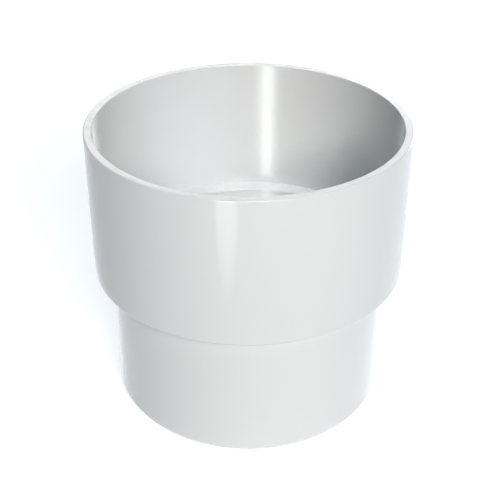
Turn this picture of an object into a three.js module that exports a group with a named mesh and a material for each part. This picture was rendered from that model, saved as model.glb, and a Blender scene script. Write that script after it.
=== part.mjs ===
// Concentric pipe reducer: a socket that a 110 mm pipe is cemented into, over a straight spigot that
// enters the bore of such a pipe. It is one plastic moulding, made here as its three regions: the
// socket's wall, the stop shoulder that steps the wall inwards, and the spigot's wall.
// Millimetres, +Z up, with the end of the spigot at Z = 0 and the pipe axis on the Z axis.

import * as THREE from 'three';
import { mergeVertices } from 'three/addons/utils/BufferGeometryUtils.js';

// The pipe: its outside goes into the socket, and its bore takes the spigot
const pipeDiameter = 110;
const pipeWall = 3.2;

// The socket
const mouthPlay = 0.2; // radial room around the pipe at the socket's mouth
const rootGrip = 0.1; // how much less the socket's radius is than the pipe's, at its bottom
const insertionDepth = 52.5; // from the rim down to the stop
const socketWall = 3; // at the rim, where it is thinnest

// The step between the two ends
const shoulderThickness = 2.7;
const heelRadius = 0.8; // outer edge under the socket
const boreLipRadius = 1; // inner edge of the stop

// The spigot
const spigotPlay = 0.2; // radial room between the spigot and the pipe's bore
const spigotWall = 3.2;
const spigotLength = 52.9; // below the shoulder
const spigotRootFillet = 0.5; // where the spigot's outside meets the shoulder's underside
const leadInDepth = 1.1; // taper that guides the spigot's end into the next bore
const leadInLength = 2;

// Broken edges left by the mould
const rimOuterEdge = 0.5;
const rimInnerEdge = 0.35;
const spigotBoreEdge = 0.4;

// Fineness of the round forms
const ringSegments = 96;
const arcSteps = 2;
const weldDistance = 0.001;

// Radii and heights that follow from the sizes above
const mouthRadius = pipeDiameter / 2 + mouthPlay;
const rootRadius = pipeDiameter / 2 - rootGrip;
const socketOuterRadius = mouthRadius + socketWall;
const spigotOuterRadius = pipeDiameter / 2 - pipeWall - spigotPlay;
const boreRadius = spigotOuterRadius - spigotWall;
const shoulderUnderside = spigotLength;
const stopHeight = shoulderUnderside + shoulderThickness;
const rimHeight = stopHeight + insertionDepth;

const whitePlastic = new THREE.MeshStandardMaterial({
  color: new THREE.Color().setRGB(0.8, 0.81, 0.81),
  roughness: 0.2,
  metalness: 0,
});

// Directions on an outline, as angles
const outwards = 0;
const up = Math.PI / 2;
const inwards = Math.PI;
const down = -Math.PI / 2;

// Closes an outline, drawn as radius and height, and turns it once round the pipe axis.
function revolve(outline) {
  outline.closePath();
  const geometry = new THREE.LatheGeometry(outline.getPoints(arcSteps), ringSegments);
  geometry.deleteAttribute('normal');
  geometry.deleteAttribute('uv');
  geometry.rotateX(Math.PI / 2);
  const welded = mergeVertices(geometry, weldDistance);
  welded.computeVertexNormals();
  return welded;
}

// Wall round the pipe, from the stop up to the rim. Its inside narrows towards the stop.
function pipeSocket() {
  const outline = new THREE.Path();
  outline.moveTo(rootRadius, stopHeight);
  outline.lineTo(socketOuterRadius, stopHeight);
  outline.absarc(
    socketOuterRadius - rimOuterEdge, rimHeight - rimOuterEdge, rimOuterEdge, outwards, up);
  outline.absarc(mouthRadius + rimInnerEdge, rimHeight - rimInnerEdge, rimInnerEdge, up, inwards);
  return new THREE.Mesh(revolve(outline), whitePlastic);
}

// Flat ring that the pipe's end butts against. It joins the socket's wall to the spigot's, and has an
// edge where each of them meets it, so that its open faces are faces of their own.
function stopShoulder() {
  const outline = new THREE.Path();
  outline.moveTo(boreRadius, shoulderUnderside);
  outline.lineTo(spigotOuterRadius + spigotRootFillet, shoulderUnderside);
  outline.lineTo(socketOuterRadius - heelRadius, shoulderUnderside);
  outline.absarc(
    socketOuterRadius - heelRadius, shoulderUnderside + heelRadius, heelRadius, down, outwards);
  outline.lineTo(socketOuterRadius, stopHeight);
  outline.lineTo(rootRadius, stopHeight);
  outline.absarc(boreRadius + boreLipRadius, stopHeight - boreLipRadius, boreLipRadius, up, inwards);
  return new THREE.Mesh(revolve(outline), whitePlastic);
}

// Straight wall of the spigot, with a lead-in taper at its end and a small fillet at its root.
function spigot() {
  const outline = new THREE.Path();
  outline.moveTo(spigotOuterRadius - leadInDepth, 0);
  outline.lineTo(spigotOuterRadius, leadInLength);
  outline.absarc(
    spigotOuterRadius + spigotRootFillet, shoulderUnderside - spigotRootFillet, spigotRootFillet,
    inwards, up, true);
  outline.lineTo(boreRadius, shoulderUnderside);
  outline.absarc(
    boreRadius + spigotBoreEdge, spigotBoreEdge, spigotBoreEdge, inwards, inwards + up);
  return new THREE.Mesh(revolve(outline), whitePlastic);
}

const group = new THREE.Group();
const regions = { pipe_socket: pipeSocket(), stop_shoulder: stopShoulder(), spigot: spigot() };
for (const [name, mesh] of Object.entries(regions)) {
  mesh.name = name;
  group.add(mesh);
}

export default group;
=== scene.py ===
import math

import bmesh
import bpy
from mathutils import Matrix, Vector


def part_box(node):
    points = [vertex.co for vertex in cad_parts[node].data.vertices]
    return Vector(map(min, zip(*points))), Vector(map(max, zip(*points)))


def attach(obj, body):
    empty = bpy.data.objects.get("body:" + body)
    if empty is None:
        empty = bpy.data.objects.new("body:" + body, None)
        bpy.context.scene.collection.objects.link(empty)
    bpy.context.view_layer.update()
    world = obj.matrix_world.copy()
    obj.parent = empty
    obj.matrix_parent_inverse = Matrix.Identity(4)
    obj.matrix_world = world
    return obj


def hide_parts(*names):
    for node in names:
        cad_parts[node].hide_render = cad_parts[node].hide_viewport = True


# The fitting stands on its spigot at the origin, with the pipe axis upright. Everything is in metres.
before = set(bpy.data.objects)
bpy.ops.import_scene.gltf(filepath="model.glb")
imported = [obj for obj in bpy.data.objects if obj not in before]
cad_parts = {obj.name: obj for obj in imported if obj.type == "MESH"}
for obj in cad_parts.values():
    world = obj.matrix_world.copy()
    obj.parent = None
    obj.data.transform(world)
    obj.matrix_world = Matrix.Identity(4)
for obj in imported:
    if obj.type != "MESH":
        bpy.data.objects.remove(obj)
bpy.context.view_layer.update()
mm = 0.001
print("frame loaded:", sorted(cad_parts))


# Camera

camera = {
    "distance": 324.0 * mm,  # from the pipe axis, level
    "height": 253.9 * mm,
    "tilt": 31.56,  # degrees down
    "turn": 0.098,  # degrees to the right
    "lens": 71.65,
    "clipStart": 10 * mm,
}


def addCamera():
    data = bpy.data.cameras.new("camera")
    data.lens = camera["lens"]
    data.clip_start = camera["clipStart"]
    obj = bpy.data.objects.new("camera", data)
    obj.location = (0, -camera["distance"], camera["height"])
    obj.rotation_euler = (math.radians(90 - camera["tilt"]), 0, -math.radians(camera["turn"]))
    bpy.context.scene.collection.objects.link(obj)
    bpy.context.scene.camera = obj


addCamera()
print("camera in place")


# Shader maths

class Wire:  # an output socket that can be added, multiplied and so on
    def __init__(self, graph, socket):
        self.graph = graph
        self.socket = socket

    def math(self, operation, a, b):
        return self.graph.add("ShaderNodeMath", {"operation": operation}, {0: a, 1: b})

    def __add__(self, other):
        return self.math("ADD", self, other)

    def __radd__(self, other):
        return self.math("ADD", other, self)

    def __sub__(self, other):
        return self.math("SUBTRACT", self, other)

    def __rsub__(self, other):
        return self.math("SUBTRACT", other, self)

    def __mul__(self, other):
        return self.math("MULTIPLY", self, other)

    def __rmul__(self, other):
        return self.math("MULTIPLY", other, self)


class Graph:  # the nodes of one material or of the world
    def __init__(self, tree):
        self.tree = tree
        tree.nodes.clear()

    def add(self, kind, settings=None, inputs=None, output=0):
        node = self.tree.nodes.new(kind)
        for name, value in (settings or {}).items():
            setattr(node, name, value)
        for name, value in (inputs or {}).items():
            if isinstance(value, Wire):
                self.tree.links.new(value.socket, node.inputs[name])
            else:
                node.inputs[name].default_value = value
        return Wire(self, node.outputs[output]) if node.outputs else node


def newMaterial(name):
    material = bpy.data.materials.new(name)
    material.use_nodes = True
    return material, Graph(material.node_tree)


# White moulded plastic

plastic = {
    "color": (0.800, 0.819, 0.822, 1),
    "colorLow": (0.789, 0.809, 0.813, 1),
    "roughness": 0.12,
    "roughnessSpread": 0.04,
    "ior": 1.54,
    "cloudSize": 30 * mm,  # slow changes of shade as the plastic flowed
    "peelSize": 2.5 * mm,  # the faint ripple of a moulded face
    "peelHeight": 0.004 * mm,
    "drawSize": 1.2 * mm,  # hairlines along the pipe axis, where the mould drew off
    "drawStretch": 0.04,
    "drawHeight": 0.0006 * mm,
    "drawDetail": 3.0,
    "scuffColor": (0.735, 0.750, 0.752, 1),  # handling marks along the three outer edges
    "scuffStrength": 0.45,
    "scuffRoughness": 0.16,
    "scuffSize": 3.5 * mm,
    "scuffDetail": 6.0,
    "scuffFrom": 0.46,  # noise below this leaves no mark
    "scuffFull": 0.66,
    "scuffInset": 0.3 * mm,  # how far inside the socket's outer face the heel's marks are full
    "scuffReach": {"rim": 1.0 * mm, "heel": 1.3 * mm, "foot": 2.6 * mm},
}


def noise(graph, place, size, detail=2.0):
    return graph.add("ShaderNodeTexNoise", {}, {
        "Vector": place, "Scale": 1 / size, "Detail": detail, "Roughness": 0.5})


def ramp(graph, value, low, high):  # 0 below low, 1 above high, smooth between
    return graph.add("ShaderNodeMapRange", {"interpolation_type": "SMOOTHSTEP"}, {
        "Value": value, "From Min": low, "From Max": high})


def edgeScuffs(graph, place):
    reach = plastic["scuffReach"]
    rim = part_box("pipe_socket")[1]
    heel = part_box("stop_shoulder")[0].z
    height = graph.add("ShaderNodeSeparateXYZ", {}, {0: place}, output=2)
    flat = graph.add("ShaderNodeMapping", {}, {"Vector": place, "Scale": (1, 1, 0)})
    radius = graph.add("ShaderNodeVectorMath", {"operation": "LENGTH"}, {0: flat}, output=1)
    atRim = ramp(graph, height, rim.z - reach["rim"], rim.z)
    outside = ramp(graph, radius, rim.x - reach["heel"], rim.x - plastic["scuffInset"])
    atHeel = outside * (1 - ramp(graph, height, heel, heel + reach["heel"]))
    atFoot = 1 - ramp(graph, height, 0, reach["foot"])
    cloud = noise(graph, place, plastic["scuffSize"], plastic["scuffDetail"])
    patches = ramp(graph, cloud, plastic["scuffFrom"], plastic["scuffFull"])
    return (atRim + atHeel + atFoot) * patches


def whitePlastic():
    material, graph = newMaterial("white_plastic")
    place = graph.add("ShaderNodeTexCoord", output="Object")
    along = graph.add("ShaderNodeMapping", {}, {
        "Vector": place, "Scale": (1, 1, plastic["drawStretch"])})
    cloud = noise(graph, place, plastic["cloudSize"])
    peel = noise(graph, place, plastic["peelSize"])
    draw = noise(graph, along, plastic["drawSize"], plastic["drawDetail"])
    color = graph.add("ShaderNodeMix", {"data_type": "RGBA"}, {
        0: cloud, 6: plastic["colorLow"], 7: plastic["color"]}, output=2)
    scuffs = edgeScuffs(graph, place)
    color = graph.add("ShaderNodeMix", {"data_type": "RGBA"}, {
        0: scuffs * plastic["scuffStrength"], 6: color, 7: plastic["scuffColor"]}, output=2)
    uneven = (cloud + draw - 1) * plastic["roughnessSpread"]
    roughness = plastic["roughness"] + uneven + scuffs * plastic["scuffRoughness"]
    height = peel * plastic["peelHeight"] + draw * plastic["drawHeight"]
    normal = graph.add("ShaderNodeBump", {}, {"Strength": 1, "Distance": 1, "Height": height})
    surface = graph.add("ShaderNodeBsdfPrincipled", {}, {
        "Base Color": color, "Roughness": roughness, "IOR": plastic["ior"], "Normal": normal})
    graph.add("ShaderNodeOutputMaterial", {}, {"Surface": surface})
    return material


# Ring solids

turn = {
    "steps": 256,
    "roundingSteps": 6,
    "weld": 0.0001 * mm,
    "creaseAngle": 30,
}


def ringSolid(name, outline, rounded, node, material):
    # Spins a closed outline of (radius, height) corners round the pipe axis, then rounds the edges
    # that the corners leave. rounded holds a radius for each corner, or 0 where it stays sharp.
    bm = bmesh.new()
    corners = [bm.verts.new((radius, 0, height)) for radius, height in outline]
    sides = [bm.edges.new(pair) for pair in zip(corners, corners[1:] + corners[:1])]
    bmesh.ops.spin(bm, geom=corners + sides, cent=(0, 0, 0), axis=(0, 0, 1), dvec=(0, 0, 0),
                   angle=math.tau, steps=turn["steps"], use_merge=True)
    bmesh.ops.remove_doubles(bm, verts=bm.verts, dist=turn["weld"])
    bmesh.ops.recalc_face_normals(bm, faces=bm.faces)
    for (radius, height), size in zip(outline, rounded):
        if size:
            at = [vert for vert in bm.verts
                  if abs(math.hypot(vert.co.x, vert.co.y) - radius) < turn["weld"]
                  and abs(vert.co.z - height) < turn["weld"]]
            ring = [edge for edge in bm.edges if edge.verts[0] in at and edge.verts[1] in at]
            bmesh.ops.bevel(bm, geom=ring, offset=size, offset_type="OFFSET",
                            segments=turn["roundingSteps"], profile=0.5, affect="EDGES", material=-1)
    for face in bm.faces:
        face.smooth = True
    for edge in bm.edges:
        edge.smooth = edge.calc_face_angle(0) < math.radians(turn["creaseAngle"])
    mesh = bpy.data.meshes.new(name)
    bm.to_mesh(mesh)
    bm.free()
    mesh.materials.append(material)
    piece = bpy.data.objects.new(name, mesh)
    bpy.context.scene.collection.objects.link(piece)
    even = piece.modifiers.new("even shading", "WEIGHTED_NORMAL")
    even.keep_sharp = True
    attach(piece, "root")
    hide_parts(node)
    print(name, "made with", len(mesh.polygons), "faces")


surface = whitePlastic()

socket = {
    "mouthRadius": 55.2 * mm,
    "rootRadius": 54.9 * mm,
    "outerRadius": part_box("pipe_socket")[1].x,
    "stop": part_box("pipe_socket")[0].z,
    "rim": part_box("pipe_socket")[1].z,
    "outerEdge": 0.5 * mm,
    "innerEdge": 0.35 * mm,
}
ringSolid("socket_wall", [
    (socket["rootRadius"], socket["stop"]),
    (socket["outerRadius"], socket["stop"]),
    (socket["outerRadius"], socket["rim"]),
    (socket["mouthRadius"], socket["rim"]),
], [0, 0, socket["outerEdge"], socket["innerEdge"]], "pipe_socket", surface)

shoulder = {
    "boreRadius": 48.4 * mm,
    "heel": 0.8 * mm,
    "lip": 1.0 * mm,
}
ringSolid("stop_ring", [
    (shoulder["boreRadius"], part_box("stop_shoulder")[0].z),
    (socket["outerRadius"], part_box("stop_shoulder")[0].z),
    (socket["outerRadius"], socket["stop"]),
    (shoulder["boreRadius"], socket["stop"]),
], [0, shoulder["heel"], 0, shoulder["lip"]], "stop_shoulder", surface)

spigot = {
    "outerRadius": 51.6 * mm,
    "leadInDepth": 1.1 * mm,
    "leadInLength": 2.0 * mm,
    "leadInEdge": 0.25 * mm,
    "rootFillet": 0.5 * mm,
    "boreEdge": 0.4 * mm,
}
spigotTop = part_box("spigot")[1].z
ringSolid("spigot_wall", [
    (shoulder["boreRadius"], 0),
    (spigot["outerRadius"] - spigot["leadInDepth"], 0),
    (spigot["outerRadius"], spigot["leadInLength"]),
    (spigot["outerRadius"], spigotTop - spigot["rootFillet"]),
    (spigot["outerRadius"] + spigot["rootFillet"], spigotTop),
    (shoulder["boreRadius"], spigotTop),
], [spigot["boreEdge"], spigot["leadInEdge"], spigot["leadInEdge"], spigot["leadInEdge"], 0, 0],
    "spigot", surface)


# Floor, background and lamps

studio = {
    "floorSize": 6.0,
    "floorColor": (0.70, 0.76, 0.81, 1),
    "floorGlow": 0.62,  # lifts the floor to white round the fitting, and thins its shadow
    "fadeStart": 0.35,  # from here out the glow rises, so that the floor runs into the sky
    "fadeEnd": 1.1,
    "skyColor": (1, 1, 1, 1),
}


def whiteRays(graph, strength):  # a glow for the rays that show the background, and none for others
    kinds = ("Is Camera Ray", "Is Glossy Ray", "Is Transmission Ray")
    camera, gloss, glass = [graph.add("ShaderNodeLightPath", output=kind) for kind in kinds]
    return (camera + gloss + glass) * strength


def addFloor():
    material, graph = newMaterial("floor")
    place = graph.add("ShaderNodeTexCoord", output="Object")
    away = graph.add("ShaderNodeVectorMath", {"operation": "LENGTH"}, {0: place}, output=1)
    far = ramp(graph, away, studio["fadeStart"], studio["fadeEnd"])
    strength = studio["floorGlow"] + far * (1 - studio["floorGlow"])
    paint = graph.add("ShaderNodeBsdfDiffuse", {}, {"Color": studio["floorColor"]})
    glow = graph.add("ShaderNodeEmission", {}, {"Color": whiteRays(graph, strength)})
    both = graph.add("ShaderNodeAddShader", {}, {0: paint, 1: glow})
    graph.add("ShaderNodeOutputMaterial", {}, {"Surface": both})
    bm = bmesh.new()
    bmesh.ops.create_grid(bm, x_segments=1, y_segments=1, size=studio["floorSize"] / 2)
    mesh = bpy.data.meshes.new("floor")
    bm.to_mesh(mesh)
    bm.free()
    mesh.materials.append(material)
    floor = bpy.data.objects.new("floor", mesh)
    bpy.context.scene.collection.objects.link(floor)


def addSky():
    world = bpy.data.worlds.new("studio")
    world.use_nodes = True
    bpy.context.scene.world = world
    graph = Graph(world.node_tree)
    glow = graph.add("ShaderNodeBackground", {}, {
        "Color": studio["skyColor"], "Strength": whiteRays(graph, 1)})
    graph.add("ShaderNodeOutputWorld", {}, {"Surface": glow})


middle = (0, 0, 54 * mm)  # of the fitting, where a lamp points unless it says otherwise
neutral = (1, 1, 1)
warm = (1.058, 1, 0.936)
cool = (0.84, 1, 1.16)


def addLamp(name, azimuth, elevation, distance, size, power, color=neutral, aim=middle, spread=180):
    # Azimuth is counted in degrees from the camera's side, to the right. Both angles are seen from aim.
    data = bpy.data.lights.new(name, "AREA")
    data.shape = "RECTANGLE"
    data.size, data.size_y = size
    data.energy = power
    data.color = color
    data.spread = math.radians(spread)
    lamp = bpy.data.objects.new(name, data)
    level = math.cos(math.radians(elevation)) * distance
    lamp.location = Vector(aim) + Vector((
        level * math.sin(math.radians(azimuth)),
        -level * math.cos(math.radians(azimuth)),
        distance * math.sin(math.radians(elevation))))
    lamp.rotation_euler = (Vector(aim) - lamp.location).to_track_quat("-Z", "Y").to_euler()
    bpy.context.scene.collection.objects.link(lamp)
    return lamp


def addShine(name, azimuth, elevation, distance, size, power, aim, spread=180):
    # A lamp that shows only in the gloss
    lamp = addLamp(name, azimuth, elevation, distance, size, power, neutral, aim, spread)
    lamp.data.shape = "ELLIPSE"
    lamp.visible_camera = False
    lamp.visible_diffuse = False


addFloor()
addSky()
addLamp("key", azimuth=15, elevation=31, distance=3.0, size=(1.2, 0.9), power=65.5, color=warm)
addLamp("high front", azimuth=22, elevation=68, distance=1.5, size=(0.6, 0.6), power=2.4, color=cool)
addLamp("low front", azimuth=8, elevation=6, distance=1.5, size=(0.6, 0.3), power=0.8, color=cool)
addLamp("back", azimuth=180, elevation=30, distance=1.5, size=(0.8, 0.5), power=2.7)
addLamp("high back", azimuth=180, elevation=60, distance=1.5, size=(0.8, 0.8), power=3.0, color=cool)
addLamp("right edge", azimuth=140, elevation=0, distance=1.2, size=(0.3, 0.1), power=8)
addLamp("into the mouth", azimuth=10, elevation=45, distance=0.6, size=(0.05, 0.05), power=0.0017,
        color=cool, aim=(-24 * mm, 48 * mm, 76 * mm), spread=6)
addLamp("onto the stop", azimuth=35, elevation=73, distance=0.6, size=(0.03, 0.03), power=0.0031,
        aim=(28 * mm, 41 * mm, 56 * mm), spread=6)

# The bright streak down the socket's front, and the one down the bore behind it
frontWall = (-6.8 * mm, -57.8 * mm)
addShine("front strip", azimuth=-14.9, elevation=0, distance=0.09, size=(0.030, 0.09), power=0.0094,
         aim=(*frontWall, 58 * mm), spread=72)
addShine("front strip's top", azimuth=-14.9, elevation=0, distance=0.09, size=(0.014, 0.09),
         power=0.0177, aim=(*frontWall, 95 * mm), spread=72)
backWall = (7.7 * mm, 54.7 * mm)
addShine("mouth strip", azimuth=-14.8, elevation=0, distance=0.05, size=(0.0038, 0.09), power=0.0074,
         aim=(*backWall, 80 * mm))
addShine("mouth strip's foot", azimuth=-14.8, elevation=0, distance=0.05, size=(0.0038, 0.11),
         power=0.0081, aim=(*backWall, 72 * mm))

# The pale crescent of bore under the lip
addShine("far side of the bore", azimuth=0, elevation=45, distance=0.02, size=(0.012, 0.0194),
         power=0.0026, aim=(0, 38.1 * mm, 24.6 * mm))

# The pale bands where the bore's wall turns out of sight, at the mouth's two ends
addShine("mouth's left end", azimuth=172, elevation=-24.5, distance=0.018, size=(0.008, 0.04),
         power=0.000035, aim=(-54.5 * mm, -5 * mm, 103 * mm), spread=40)
addShine("mouth's right end", azimuth=-172, elevation=-24.5, distance=0.018, size=(0.008, 0.04),
         power=0.000013, aim=(54.5 * mm, -5 * mm, 103 * mm), spread=40)

# The light edge round the foot
addShine("round the foot", azimuth=0, elevation=-90, distance=0.05, size=(0.23, 0.23), power=0.035,
         aim=(0, 0, 50.5 * mm))
bpy.context.scene.view_settings.view_transform = "Standard"
print("studio ready")
